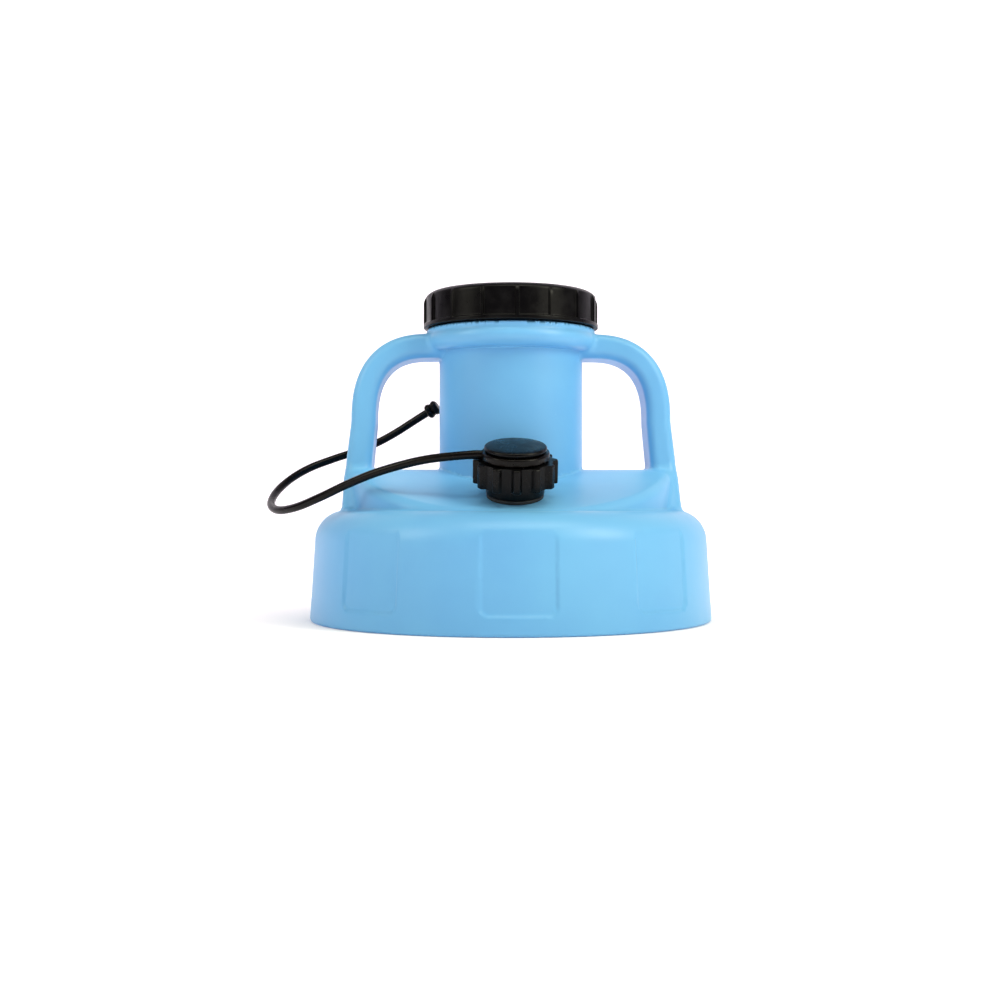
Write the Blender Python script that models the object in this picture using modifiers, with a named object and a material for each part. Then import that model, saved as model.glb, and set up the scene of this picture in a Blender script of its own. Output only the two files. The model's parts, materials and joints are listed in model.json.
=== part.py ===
"""Utility lid of a chemical drum, with a capped filling neck and a capped pouring port.

Run it with blender --background --python part.py, or from Blender's text editor. Metres, +Z up. The
origin is in the middle of the skirt's bottom rim, and the pouring port looks towards -Y.
"""

import math

import bmesh
import bpy
from mathutils import Matrix, Vector

# Skirt: the cup that screws over the mouth of the drum.
SKIRT_RADIUS = 0.1000
SKIRT_HEIGHT = 0.0545
SKIRT_DRAFT = 0.0026  # how much narrower the wall is where its top fillet starts
SKIRT_WALL = 0.0034
SKIRT_TOP_FILLET = 0.0140
RIM_FILLET = 0.0016
SKIRT_STEPS = 68

# Shallow panels moulded into the skirt, three at the front and three at the back.
PANEL_DEPTH = 0.0008
PANEL_WIDTH = 0.0357
PANEL_BOTTOM = 0.0085
PANEL_CORNER = 0.0045
PANEL_ANGLES = (-43, 0, 43, 137, 180, 223)

# Shoulder: a drum cut by a roof with a flat ridge, under the neck and between the handles.
SHOULDER_RADIUS = 0.0800
SHOULDER_RISE = 0.0202
ROOF_TOE_GAP = 0.0035  # from the foot of the slope to the shoulder's edge
SHOULDER_STEPS = 60

# Neck, with the bulged collar and the stop flange that the cap meets.
NECK_RADIUS = 0.0350
NECK_WALL = 0.0040
COLLAR_BULGE = 0.0079
COLLAR_DROP = 0.0067  # from the flange's top to the middle of the collar
COLLAR_HALF_HEIGHT = 0.0053
FLANGE_TOP = 0.1450
FLANGE_OVERHANG = 0.0081
FLANGE_FOOT_OVERHANG = 0.0062
FLANGE_HEIGHT = 0.0024
FINISH_HEIGHT = 0.0130  # of the threaded end over the flange
FINISH_STEP = 0.0008  # how much wider that end is than the neck
NECK_STEPS = 48

# Handles: two arches from the collar to the shoulder.
HANDLE_DEPTH = 0.0280
HANDLE_DROP = 0.0030  # from the flange's top to the top of the arch
HANDLE_REACH = 0.0790  # outer side of the leg where the arch starts
HANDLE_FOOT_REACH = 0.0826
HANDLE_SPRING = 0.0050  # from the neck to where the arch starts to bend
HANDLE_ARCH_Z = 0.0980
HANDLE_BAR = 0.0123
HANDLE_LEG = 0.0118
HANDLE_FOOT_LEG = 0.0130
HANDLE_OUTER_POWER = 2.4
HANDLE_INNER_POWER = 2.7
HANDLE_EDGE = 0.0040
GUSSET_SPREAD = 0.0140  # how far the leg's foot flares to the front and to the back
ARCH_STEPS = 9

# Large cap.
CAP_ROOF = 0.0031
CAP_EDGE_FILLET = 0.0060
CAP_RECESS = 0.0008
CAP_LOWER_BAND = 0.0022
CAP_RIBS = 16
CAP_RIB_WIDTH = 0.0014
CAP_RIB_TURN = 2.0  # degrees from the lid's axes to the nearest rib
CAP_WALL = 0.0037
CAP_THREAD_GAP = 0.0010  # from the neck's thread to the inside of the cap
CAP_LINER_THICKNESS = 0.0016
CAP_LINER_BORE = 0.0200
CAP_STEPS = 64

# Screw threads: pitch, width of the ridge at its root and at its crest.
MAIN_PITCH = 0.0050
MAIN_RIDGE = (0.0022, 0.0012)
MAIN_RIDGE_HEIGHT = 0.0024
MAIN_TURNS = 1.75
PORT_PITCH = 0.0030
PORT_RIDGE = (0.0013, 0.0007)
PORT_RIDGE_HEIGHT = 0.0016
PORT_TURNS = 1.75
DRUM_PITCH = 0.0080
DRUM_RIDGE = (0.0036, 0.0018)
DRUM_RIDGE_HEIGHT = 0.0022
DRUM_TURNS = 1.25
THREAD_START = 0.0025  # from the stop flange or the port's flange to the ridge's first turn
RUNOUT_STEPS = 4  # over which a ridge rises to its full height

# Pouring port, on the front slope. Heights are along its own axis, from the slope's surface.
PORT_STAND_OFF = 0.0210  # from the neck's wall to where the port's axis meets the slope
PORT_SEAL_THICKNESS = 0.0015
PORT_FLANGE_RADIUS = 0.0136
PORT_FLANGE_THICKNESS = 0.0045
PORT_STUB_RADIUS = 0.0114
PORT_STUB_HEIGHT = 0.0090
PORT_BORE = 0.0070
PORT_SHANK_RADIUS = 0.0100
PORT_SHANK_LENGTH = 0.0140
PORT_NUT_FLATS = 0.0300
PORT_NUT_THICKNESS = 0.0060
PORT_CAP_WALL = 0.0037
PORT_CAP_RIB_HEIGHT = 0.0023
PORT_CAP_THREAD_GAP = 0.0006
PORT_CAP_RIBS = 12
PORT_CAP_RIB_ROOT = 0.0048
PORT_CAP_RIB_CREST = 0.0026
PORT_CAP_ROOF = 0.0006
PORT_LINER_THICKNESS = 0.0012
BUTTON_STEM_RADIUS = 0.0125
BUTTON_OVERHANG = 0.0020
BUTTON_THICKNESS = 0.0023
BUTTON_CROWN = 0.0007
PORT_STEPS = 36

# Tether: a ring snapped under the button, a round strap, and a barbed end.
TETHER_RING_WIDTH = 0.0029
TETHER_RING_HEIGHT = 0.0037
TETHER_DIAMETER = 0.0040
TETHER_STEP = 0.0085
TETHER_END_RADIUS = 0.0039
TETHER_END_LENGTH = 0.0070
TETHER_END_GROOVE = 0.0006
TETHER_ROUTE = (
    (-0.0220, -0.0622, 0.0802),
    (-0.0420, -0.0578, 0.0781),
    (-0.0622, -0.0499, 0.0731),
    (-0.0780, -0.0423, 0.0672),
    (-0.0918, -0.0348, 0.0610),
    (-0.1042, -0.0250, 0.0562),
    (-0.1145, -0.0125, 0.0546),
    (-0.1200, 0.0010, 0.0573),
    (-0.1194, 0.0142, 0.0632),
    (-0.1135, 0.0262, 0.0703),
    (-0.1045, 0.0354, 0.0764),
    (-0.0935, 0.0410, 0.0810),
    (-0.0838, 0.0430, 0.0844),
    (-0.0723, 0.0426, 0.0887),
    (-0.0610, 0.0402, 0.0944),
    (-0.0479, 0.0357, 0.1024),
)
TETHER_TIP = (-0.0400, 0.0334, 0.1072)  # middle of the barbed end

# Where the lid's moulding is divided into its skirt, its neck and its handles.
SPLIT_RISE = 0.0010  # over the roof's ridge
SPLIT_MARGIN = 0.0005  # round the stop flange

# Fits.
CLEARANCE = 0.0003  # between pieces that seat on or in each other
GASKET_THICKNESS = 0.0025
OVERLAP = 0.0010  # how far a shape that is joined to another reaches into it

# Worked out from the sizes above.
ROOF_RUN = SHOULDER_RADIUS - ROOF_TOE_GAP - HANDLE_DEPTH / 2
ROOF_ANGLE = math.atan2(SHOULDER_RISE, ROOF_RUN)
RIDGE_TOP = SKIRT_HEIGHT + SHOULDER_RISE
SKIRT_UNDERSIDE = SKIRT_HEIGHT - SKIRT_WALL
PORT_FOOT = NECK_RADIUS + PORT_STAND_OFF
PORT_FOOT_HEIGHT = RIDGE_TOP - (PORT_FOOT - HANDLE_DEPTH / 2) * math.tan(ROOF_ANGLE)
COLLAR_RADIUS = NECK_RADIUS + COLLAR_BULGE
COLLAR_MIDDLE = FLANGE_TOP - COLLAR_DROP
FLANGE_RADIUS = NECK_RADIUS + FLANGE_OVERHANG
FLANGE_FOOT_RADIUS = NECK_RADIUS + FLANGE_FOOT_OVERHANG
NECK_THREAD_RADIUS = NECK_RADIUS + FINISH_STEP
NECK_LIP = FLANGE_TOP + FINISH_HEIGHT
HANDLE_TOP = FLANGE_TOP - HANDLE_DROP
HANDLE_ARCH_X = NECK_RADIUS + HANDLE_SPRING
CAP_BOTTOM = FLANGE_TOP + CLEARANCE
CAP_INNER = NECK_THREAD_RADIUS + MAIN_RIDGE_HEIGHT + CAP_THREAD_GAP
CAP_RADIUS = CAP_INNER + CAP_WALL + CAP_RECESS
CAP_LINER_BOTTOM = NECK_LIP + CLEARANCE
CAP_CEILING = CAP_LINER_BOTTOM + CAP_LINER_THICKNESS + CLEARANCE
CAP_TOP = CAP_CEILING + CAP_ROOF
PORT_FLANGE_BOTTOM = CLEARANCE + PORT_SEAL_THICKNESS + CLEARANCE
PORT_FLANGE_TOP = PORT_FLANGE_BOTTOM + PORT_FLANGE_THICKNESS
PORT_STUB_TOP = PORT_FLANGE_TOP + PORT_STUB_HEIGHT
PORT_CAP_INNER = PORT_STUB_RADIUS + PORT_RIDGE_HEIGHT + PORT_CAP_THREAD_GAP
PORT_CAP_RADIUS = PORT_CAP_INNER + PORT_CAP_WALL
PORT_CAP_RIB_RADIUS = PORT_CAP_RADIUS + PORT_CAP_RIB_HEIGHT
PORT_CAP_BOTTOM = PORT_FLANGE_TOP + CLEARANCE
PORT_LINER_BOTTOM = PORT_STUB_TOP + CLEARANCE
PORT_CAP_CEILING = PORT_LINER_BOTTOM + PORT_LINER_THICKNESS + CLEARANCE
PORT_CAP_BODY_TOP = PORT_CAP_CEILING + PORT_CAP_ROOF
BUTTON_RADIUS = BUTTON_STEM_RADIUS + BUTTON_OVERHANG
TETHER_RING_BOTTOM = PORT_CAP_BODY_TOP + CLEARANCE
TETHER_RING_RADIUS = BUTTON_STEM_RADIUS + CLEARANCE + TETHER_RING_WIDTH
BUTTON_BOTTOM = TETHER_RING_BOTTOM + TETHER_RING_HEIGHT + CLEARANCE

BLUE = (0.215, 0.500, 0.820)
BLACK = (0.010, 0.010, 0.011)
RUBBER = (0.020, 0.020, 0.020)
WHITE = (0.780, 0.780, 0.760)


# ---------------------------------------------------------------- scene and materials

for leftover in list(bpy.data.objects):
    bpy.data.objects.remove(leftover)

parts = bpy.data.collections.new("drum_utility_lid")
cutters = bpy.data.collections.new("cutters")
for collection in (parts, cutters):
    bpy.context.scene.collection.children.link(collection)


def plastic(name, colour, roughness):
    """A Principled material in one colour."""
    material = bpy.data.materials.new(name)
    material.use_nodes = True
    shader = material.node_tree.nodes["Principled BSDF"]
    shader.inputs["Base Color"].default_value = (*colour, 1)
    shader.inputs["Roughness"].default_value = roughness
    shader.inputs["Metallic"].default_value = 0
    return material


def place(name, mesh, parent=None, height=0.0, colour=None, roughness=0.4):
    """Puts a mesh in the scene: a part if it has a colour, and otherwise a shape that parts are made with."""
    shape = bpy.data.objects.new(name, mesh)
    shape.location = (0, 0, height)
    shape.parent = parent
    if colour is None:
        cutters.objects.link(shape)
        shape.hide_render = True
        shape.display_type = "WIRE"
    else:
        parts.objects.link(shape)
        mesh.materials.append(plastic(name, colour, roughness))
    return shape


# ---------------------------------------------------------------- shapes


def turned(profile, ring=False):
    """A mesh of (radius, height) points for a Screw; its outer side runs from top to bottom."""
    mesh = bpy.data.meshes.new("profile")
    count = len(profile)
    edges = [(i, i + 1) for i in range(count - 1)] + [(count - 1, 0)] * ring
    mesh.from_pydata([(r, 0, z) for r, z in profile], edges, [])
    return mesh


def screw(shape, steps):
    """Turns the shape's profile round its Z axis."""
    turn = shape.modifiers.new("turn", "SCREW")
    turn.steps = steps
    turn.render_steps = steps
    turn.use_merge_vertices = True
    turn.merge_threshold = 0.00001
    return shape


def arc(middle, radius, start, end, steps=4):
    """Points (radius, height) along an arc, from one angle to another in degrees."""
    angles = [math.radians(start + (end - start) * i / steps) for i in range(steps + 1)]
    return [(middle[0] + radius * math.cos(a), middle[1] + radius * math.sin(a)) for a in angles]


def extruded(outline, depth, turn):
    """A mesh of a flat outline, extruded evenly to both sides and then turned by a matrix."""
    mesh = bpy.data.meshes.new("extruded")
    build = bmesh.new()
    ends = [[build.verts.new((x, y, z)) for x, y in outline] for z in (depth / 2, -depth / 2)]
    build.faces.new(ends[0])
    build.faces.new(reversed(ends[1]))
    for i in range(len(outline)):
        j = (i + 1) % len(outline)
        build.faces.new((ends[0][i], ends[1][i], ends[1][j], ends[0][j]))
    bmesh.ops.transform(build, matrix=turn, verts=build.verts)
    bmesh.ops.recalc_face_normals(build, faces=build.faces)
    build.to_mesh(mesh)
    build.free()
    return mesh


def cylinder(radius, bottom, top, steps):
    """A mesh of an upright cylinder."""
    mesh = bpy.data.meshes.new("cylinder")
    build = bmesh.new()
    middle = Matrix.Translation((0, 0, (bottom + top) / 2))
    bmesh.ops.create_cone(
        build, cap_ends=True, segments=steps, radius1=radius, radius2=radius, depth=top - bottom, matrix=middle
    )
    build.to_mesh(mesh)
    build.free()
    return mesh


def spread_round(mesh, angles):
    """A mesh of copies of another, turned round the Z axis by each angle in degrees."""
    build = bmesh.new()
    for angle in angles:
        copy = mesh.copy()
        copy.transform(Matrix.Rotation(math.radians(angle), 4, "Z"))
        build.from_mesh(copy)
    spread = bpy.data.meshes.new("spread")
    build.to_mesh(spread)
    build.free()
    return spread


def thread_ridge(root, height, pitch, widths, turns, bottom, first_turn, steps):
    """A mesh of a screw thread's ridge. It rises from the root radius outwards, or inwards for a negative
    height, and reaches into the wall that it stands on."""
    build = bmesh.new()
    count = round(turns * steps)
    foot = root - math.copysign(OVERLAP, height)
    rings = []
    for i in range(count + 1):
        full = min(1, (1 + i) / RUNOUT_STEPS, (1 + count - i) / RUNOUT_STEPS)
        angle = 2 * math.pi * (first_turn + (i + 0.5) / steps)
        level = bottom + pitch * (i + 0.5) / steps
        crest = root + height * full
        section = (
            (foot, -widths[0] / 2),
            (crest, -widths[1] / 2),
            (crest, widths[1] / 2),
            (foot, widths[0] / 2),
        )
        rings.append(
            [build.verts.new((r * math.cos(angle), r * math.sin(angle), level + z)) for r, z in section]
        )
    for a, b in zip(rings, rings[1:]):
        for j in range(len(a)):
            k = (j + 1) % len(a)
            build.faces.new((a[j], a[k], b[k], b[j]))
    build.faces.new(rings[0])
    build.faces.new(rings[-1])
    bmesh.ops.recalc_face_normals(build, faces=build.faces)
    mesh = bpy.data.meshes.new("thread")
    build.to_mesh(mesh)
    build.free()
    return mesh


def combine(shape, operation, *others):
    """Adds a Boolean for each of the other shapes."""
    for other in others:
        step = shape.modifiers.new(other.name, "BOOLEAN")
        step.operation = operation
        step.solver = "EXACT"
        step.object = other
    return shape


def soften(shape, width, segments=2):
    """Rounds the shape's sharp edges."""
    edge = shape.modifiers.new("soften", "BEVEL")
    edge.width = width
    edge.segments = segments
    edge.limit_method = "ANGLE"
    edge.angle_limit = math.radians(50)
    return shape


UPRIGHT = Matrix.Rotation(math.radians(90), 4, "X")  # an outline's x, y become X, Z
ACROSS = Matrix(((0, 0, 1, 0), (1, 0, 0, 0), (0, 1, 0, 0), (0, 0, 0, 1)))  # x, y become Y, Z


def block(low, high):
    """A mesh of an upright box between two corners."""
    mesh = bpy.data.meshes.new("block")
    build = bmesh.new()
    size = [b - a for a, b in zip(low, high)]
    middle = [(a + b) / 2 for a, b in zip(low, high)]
    stretch = Matrix.Translation(middle) @ Matrix.Diagonal((*size, 1))
    bmesh.ops.create_cube(build, size=1, matrix=stretch)
    build.to_mesh(mesh)
    build.free()
    return mesh


# ---------------------------------------------------------------- lid moulding


def skirt_outside():
    """Profile of the skirt's outside, closed by the axis."""
    fillet = (SKIRT_RADIUS - SKIRT_DRAFT - SKIRT_TOP_FILLET, SKIRT_HEIGHT - SKIRT_TOP_FILLET)
    rim = (SKIRT_RADIUS - RIM_FILLET, RIM_FILLET)
    return [
        (0, SKIRT_HEIGHT),
        *arc(fillet, SKIRT_TOP_FILLET, 90, 0, 6),
        *arc(rim, RIM_FILLET, 0, -90, 3),
        (0, 0),
    ]


def skirt_inside():
    """Profile of the hollow that takes the drum's mouth."""
    narrow = SKIRT_RADIUS - SKIRT_DRAFT - SKIRT_WALL
    fillet = SKIRT_TOP_FILLET - SKIRT_WALL
    corner = (narrow - fillet, SKIRT_UNDERSIDE - fillet)
    return [
        (0, SKIRT_UNDERSIDE),
        *arc(corner, fillet, 90, 0, 4),
        (SKIRT_RADIUS - SKIRT_WALL, 0),
        (SKIRT_RADIUS - SKIRT_WALL, -OVERLAP),
        (0, -OVERLAP),
    ]


def roof(inset, bottom):
    """Outline of the shoulder's roof across the lid, moved inwards by inset."""
    ridge = HANDLE_DEPTH / 2 - inset * math.tan(ROOF_ANGLE / 2)
    top = RIDGE_TOP - inset
    eaves = top - SHOULDER_RISE - OVERLAP
    foot = ridge + (top - eaves) / math.tan(ROOF_ANGLE)
    return [(-foot, bottom), (foot, bottom), (foot, eaves), (ridge, top), (-ridge, top), (-foot, eaves)]


def shoulder(name, inset, bottom):
    """The drum of the shoulder, cut to its roof."""
    drum = place(name, cylinder(SHOULDER_RADIUS - inset, bottom, RIDGE_TOP + OVERLAP, SHOULDER_STEPS))
    width = 2 * SHOULDER_RADIUS + OVERLAP
    slopes = place(name + "_roof", extruded(roof(inset, bottom - OVERLAP), width, ACROSS))
    return combine(drum, "INTERSECT", slopes)


def neck_outside():
    """Profile of the neck, its collar, its stop flange and its lip, closed by the axis."""
    collar = [
        (
            NECK_RADIUS + (COLLAR_RADIUS - NECK_RADIUS) * math.cos(math.radians(a)) ** 0.6,
            COLLAR_MIDDLE + COLLAR_HALF_HEIGHT * math.sin(math.radians(a)),
        )
        for a in (52, 26, 0, -26, -52, -75)
    ]
    return [
        (0, NECK_LIP),
        (NECK_THREAD_RADIUS, NECK_LIP),
        (NECK_THREAD_RADIUS, FLANGE_TOP),
        (FLANGE_RADIUS, FLANGE_TOP),
        (FLANGE_FOOT_RADIUS, FLANGE_TOP - FLANGE_HEIGHT),
        *collar,
        (NECK_RADIUS, COLLAR_MIDDLE - COLLAR_HALF_HEIGHT - OVERLAP),
        (NECK_RADIUS, SKIRT_HEIGHT + OVERLAP),
        (0, SKIRT_HEIGHT + OVERLAP),
    ]


def superellipse(reach, rise, power, start, end):
    """Points round a quarter of a superellipse about the middle of the handle's arch."""
    points = []
    for i in range(ARCH_STEPS + 1):
        a = math.radians(start + (end - start) * i / ARCH_STEPS)
        x = reach * math.cos(a) ** (2 / power) if math.cos(a) > 0.001 else 0
        z = rise * math.sin(a) ** (2 / power) if math.sin(a) > 0.001 else 0
        points.append((HANDLE_ARCH_X + x, HANDLE_ARCH_Z + z))
    return points


def handle_outline():
    """Outline of the right handle, from the neck over the arch and down to the shoulder."""
    reach = HANDLE_REACH - HANDLE_ARCH_X
    rise = HANDLE_TOP - HANDLE_ARCH_Z
    root = NECK_RADIUS - NECK_WALL - OVERLAP
    foot = SKIRT_HEIGHT - OVERLAP
    inner_foot = HANDLE_FOOT_REACH - HANDLE_FOOT_LEG
    return [
        (root, HANDLE_TOP),
        *superellipse(reach, rise, HANDLE_OUTER_POWER, 90, 0),
        (HANDLE_FOOT_REACH, RIDGE_TOP - OVERLAP),
        (HANDLE_FOOT_REACH, foot),
        (inner_foot, foot),
        (inner_foot, RIDGE_TOP),
        *superellipse(reach - HANDLE_LEG, rise - HANDLE_BAR, HANDLE_INNER_POWER, 0, 90),
        (root, HANDLE_TOP - HANDLE_BAR),
    ]


def gusset_outline():
    """Outline across the lid of the flared foot of a handle's leg."""
    top = HANDLE_DEPTH / 2 - CLEARANCE
    foot = top + GUSSET_SPREAD
    high = RIDGE_TOP - CLEARANCE
    low = SKIRT_HEIGHT - OVERLAP / 2
    return [(-foot, low), (foot, low), (top, high), (-top, high)]


def panel_outline():
    """Outline of one of the skirt's panels, with round lower corners and its top past the skirt's fillet."""
    side = PANEL_WIDTH / 2 - PANEL_CORNER
    low = PANEL_BOTTOM + PANEL_CORNER
    return [
        (-PANEL_WIDTH / 2, SKIRT_HEIGHT),
        *arc((-side, low), PANEL_CORNER, 180, 270),
        *arc((side, low), PANEL_CORNER, 270, 360),
        (PANEL_WIDTH / 2, SKIRT_HEIGHT),
    ]


def panel_cutters():
    """The shallow layer that the panels take off the skirt, cut to the six outlines."""
    low = SKIRT_RADIUS - PANEL_DEPTH
    high = low - SKIRT_DRAFT
    outside = SKIRT_RADIUS + OVERLAP
    straight = SKIRT_HEIGHT - SKIRT_TOP_FILLET
    profile = [(outside, SKIRT_HEIGHT), (outside, 0), (low, 0), (high, straight), (high, SKIRT_HEIGHT)]
    layer = screw(place("panel_layer", turned(profile, ring=True)), SKIRT_STEPS)
    stamp = extruded(panel_outline(), SHOULDER_RADIUS, UPRIGHT)
    stamp.transform(Matrix.Translation((0, -SKIRT_RADIUS, 0)))
    return combine(layer, "INTERSECT", place("panel_stamps", spread_round(stamp, PANEL_ANGLES)))


port_axis = bpy.data.objects.new("port_axis", None)
cutters.objects.link(port_axis)
port_axis.location = (0, -PORT_FOOT, PORT_FOOT_HEIGHT)
port_axis.rotation_euler = (ROOF_ANGLE, 0, 0)

# The real lid is one moulding. Here it is four solids, a hair apart: each is simple, and together they
# leave the neck's bore and the handles' gaps open.

split = RIDGE_TOP + SPLIT_RISE
side = FLANGE_RADIUS + SPLIT_MARGIN
over = NECK_LIP + OVERLAP
wide = SKIRT_RADIUS + OVERLAP
handle_mesh = extruded(handle_outline(), HANDLE_DEPTH, UPRIGHT)
handles = soften(place("handles", spread_round(handle_mesh, (0, 180))), HANDLE_EDGE)
above = place("above", block((-wide, -wide, split), (wide, wide, over)))
below = place("below", block((-wide, -wide, -OVERLAP), (wide, wide, split + CLEARANCE)))
middle = place("middle", block((-side - CLEARANCE, -side, split), (side + CLEARANCE, side, over)))
flanks = spread_round(block((side, -side, split), (wide, side, over)), (0, 180))
bore = place("neck_bore", cylinder(NECK_RADIUS - NECK_WALL, SKIRT_HEIGHT, over, NECK_STEPS))

lid_skirt = screw(place("lid_skirt", turned(skirt_outside()), colour=BLUE, roughness=0.35), SKIRT_STEPS)
neck_foot = place("neck_foot", cylinder(NECK_RADIUS, SKIRT_HEIGHT + OVERLAP, split + OVERLAP, NECK_STEPS))
gusset_mesh = extruded(gusset_outline(), HANDLE_FOOT_LEG, ACROSS)
gusset_mesh.transform(Matrix.Translation((HANDLE_FOOT_REACH - HANDLE_FOOT_LEG / 2 - CLEARANCE, 0, 0)))
gussets = place("gussets", spread_round(gusset_mesh, (0, 180)))
combine(lid_skirt, "UNION", shoulder("shoulder", 0, SKIRT_UNDERSIDE - OVERLAP), neck_foot, handles, gussets)
skirt_hollow = screw(place("skirt_hollow", turned(skirt_inside())), SKIRT_STEPS)
port_hole = place(
    "port_hole",
    cylinder(PORT_SHANK_RADIUS + CLEARANCE, -2 * SKIRT_WALL, SKIRT_WALL, PORT_STEPS),
    parent=port_axis,
)
hollow = shoulder("shoulder_hollow", SKIRT_WALL, SKIRT_UNDERSIDE - OVERLAP)
combine(lid_skirt, "DIFFERENCE", above, skirt_hollow, hollow, bore, port_hole, panel_cutters())
drum_thread = place(
    "drum_thread",
    thread_ridge(
        SKIRT_RADIUS - SKIRT_DRAFT - SKIRT_WALL + OVERLAP,
        -DRUM_RIDGE_HEIGHT - OVERLAP,
        DRUM_PITCH,
        DRUM_RIDGE,
        DRUM_TURNS,
        DRUM_PITCH,
        0,
        SKIRT_STEPS,
    ),
)
combine(lid_skirt, "UNION", drum_thread)

lid_neck = screw(place("lid_neck", turned(neck_outside()), colour=BLUE, roughness=0.35), NECK_STEPS)
combine(lid_neck, "UNION", handles)
combine(lid_neck, "DIFFERENCE", place("flanks", flanks), below, bore)
neck_thread = place(
    "neck_thread",
    thread_ridge(
        NECK_THREAD_RADIUS,
        MAIN_RIDGE_HEIGHT,
        MAIN_PITCH,
        MAIN_RIDGE,
        MAIN_TURNS,
        FLANGE_TOP + THREAD_START,
        0,
        NECK_STEPS,
    ),
)
combine(lid_neck, "UNION", neck_thread)

for name, angle in (("right_handle", 0), ("left_handle", 180)):
    handle = place(name, spread_round(handle_mesh, (angle,)), colour=BLUE, roughness=0.35)
    soften(handle, HANDLE_EDGE)
    combine(handle, "DIFFERENCE", middle, below)


# ---------------------------------------------------------------- drum gasket

gasket_top = SKIRT_UNDERSIDE - CLEARANCE
gasket_outer = SKIRT_RADIUS - SKIRT_DRAFT - SKIRT_TOP_FILLET
gasket_inner = SHOULDER_RADIUS - SKIRT_WALL + CLEARANCE
gasket_profile = [
    (gasket_outer, gasket_top),
    (gasket_outer, gasket_top - GASKET_THICKNESS),
    (gasket_inner, gasket_top - GASKET_THICKNESS),
    (gasket_inner, gasket_top),
]
drum_gasket = place("drum_gasket", turned(gasket_profile, ring=True), colour=RUBBER, roughness=0.6)
screw(drum_gasket, SKIRT_STEPS)


# ---------------------------------------------------------------- large cap and its liner


def cap_profile(outer, bottom, top, fillet, inner, ceiling):
    """Profile of a cap: a cup that opens downwards, closed by the axis."""
    return [
        (0, top),
        *arc((outer - fillet, top - fillet), fillet, 90, 0),
        (outer, bottom),
        (inner, bottom),
        (inner, ceiling),
        (0, ceiling),
    ]


def cap_recesses():
    """The layer between the large cap's ribs."""
    low = CAP_BOTTOM + CAP_LOWER_BAND
    floor = CAP_RADIUS - CAP_RECESS
    outside = CAP_RADIUS + OVERLAP
    profile = [(outside, CAP_TOP), (outside, low), (floor, low), (floor, CAP_TOP)]
    layer = screw(place("cap_layer", turned(profile, ring=True)), CAP_STEPS)
    half = CAP_RIB_WIDTH / 2
    bar = [(CAP_INNER, -half), (outside + OVERLAP, -half), (outside + OVERLAP, half), (CAP_INNER, half)]
    rib = extruded(bar, CAP_TOP, Matrix.Translation((0, 0, CAP_TOP)))
    angles = [CAP_RIB_TURN + i * 360 / CAP_RIBS for i in range(CAP_RIBS)]
    return combine(layer, "DIFFERENCE", place("cap_rib_bars", spread_round(rib, angles)))


main_profile = cap_profile(CAP_RADIUS, CAP_BOTTOM, CAP_TOP, CAP_EDGE_FILLET, CAP_INNER, CAP_CEILING)
main_cap = screw(place("main_cap", turned(main_profile), colour=BLACK, roughness=0.3), CAP_STEPS)
combine(main_cap, "DIFFERENCE", cap_recesses())
cap_thread = place(
    "cap_thread",
    thread_ridge(
        CAP_INNER,
        NECK_THREAD_RADIUS + MAIN_RIDGE_HEIGHT / 3 - CAP_INNER,
        MAIN_PITCH,
        MAIN_RIDGE,
        MAIN_TURNS,
        FLANGE_TOP + THREAD_START,
        -0.5,
        CAP_STEPS,
    ),
)
combine(main_cap, "UNION", cap_thread)

liner_profile = [
    (CAP_INNER - CLEARANCE, CAP_LINER_BOTTOM + CAP_LINER_THICKNESS),
    (CAP_INNER - CLEARANCE, CAP_LINER_BOTTOM),
    (CAP_LINER_BORE, CAP_LINER_BOTTOM),
    (CAP_LINER_BORE, CAP_LINER_BOTTOM + CAP_LINER_THICKNESS),
]
main_cap_liner = place("main_cap_liner", turned(liner_profile, ring=True), colour=WHITE, roughness=0.6)
screw(main_cap_liner, NECK_STEPS)


# ---------------------------------------------------------------- port fitting, its seal and its nut

fitting_profile = [
    (PORT_STUB_RADIUS, PORT_STUB_TOP),
    (PORT_STUB_RADIUS, PORT_FLANGE_TOP),
    (PORT_FLANGE_RADIUS, PORT_FLANGE_TOP),
    (PORT_FLANGE_RADIUS, PORT_FLANGE_BOTTOM),
    (PORT_SHANK_RADIUS, PORT_FLANGE_BOTTOM),
    (PORT_SHANK_RADIUS, -PORT_SHANK_LENGTH),
    (PORT_BORE, -PORT_SHANK_LENGTH),
    (PORT_BORE, PORT_STUB_TOP),
]
port_fitting = place(
    "port_fitting", turned(fitting_profile, ring=True), parent=port_axis, colour=BLACK, roughness=0.35
)
screw(port_fitting, PORT_STEPS)
stub_thread = place(
    "stub_thread",
    thread_ridge(
        PORT_STUB_RADIUS,
        PORT_RIDGE_HEIGHT,
        PORT_PITCH,
        PORT_RIDGE,
        PORT_TURNS,
        PORT_FLANGE_TOP + THREAD_START,
        0,
        PORT_STEPS,
    ),
    parent=port_axis,
)
combine(port_fitting, "UNION", stub_thread)

seal_inner = PORT_SHANK_RADIUS + CLEARANCE
seal_profile = [
    (PORT_FLANGE_RADIUS - CLEARANCE, CLEARANCE + PORT_SEAL_THICKNESS),
    (PORT_FLANGE_RADIUS - CLEARANCE, CLEARANCE),
    (seal_inner, CLEARANCE),
    (seal_inner, CLEARANCE + PORT_SEAL_THICKNESS),
]
port_fitting_seal = place(
    "port_fitting_seal", turned(seal_profile, ring=True), parent=port_axis, colour=RUBBER, roughness=0.6
)
screw(port_fitting_seal, PORT_STEPS)

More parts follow.
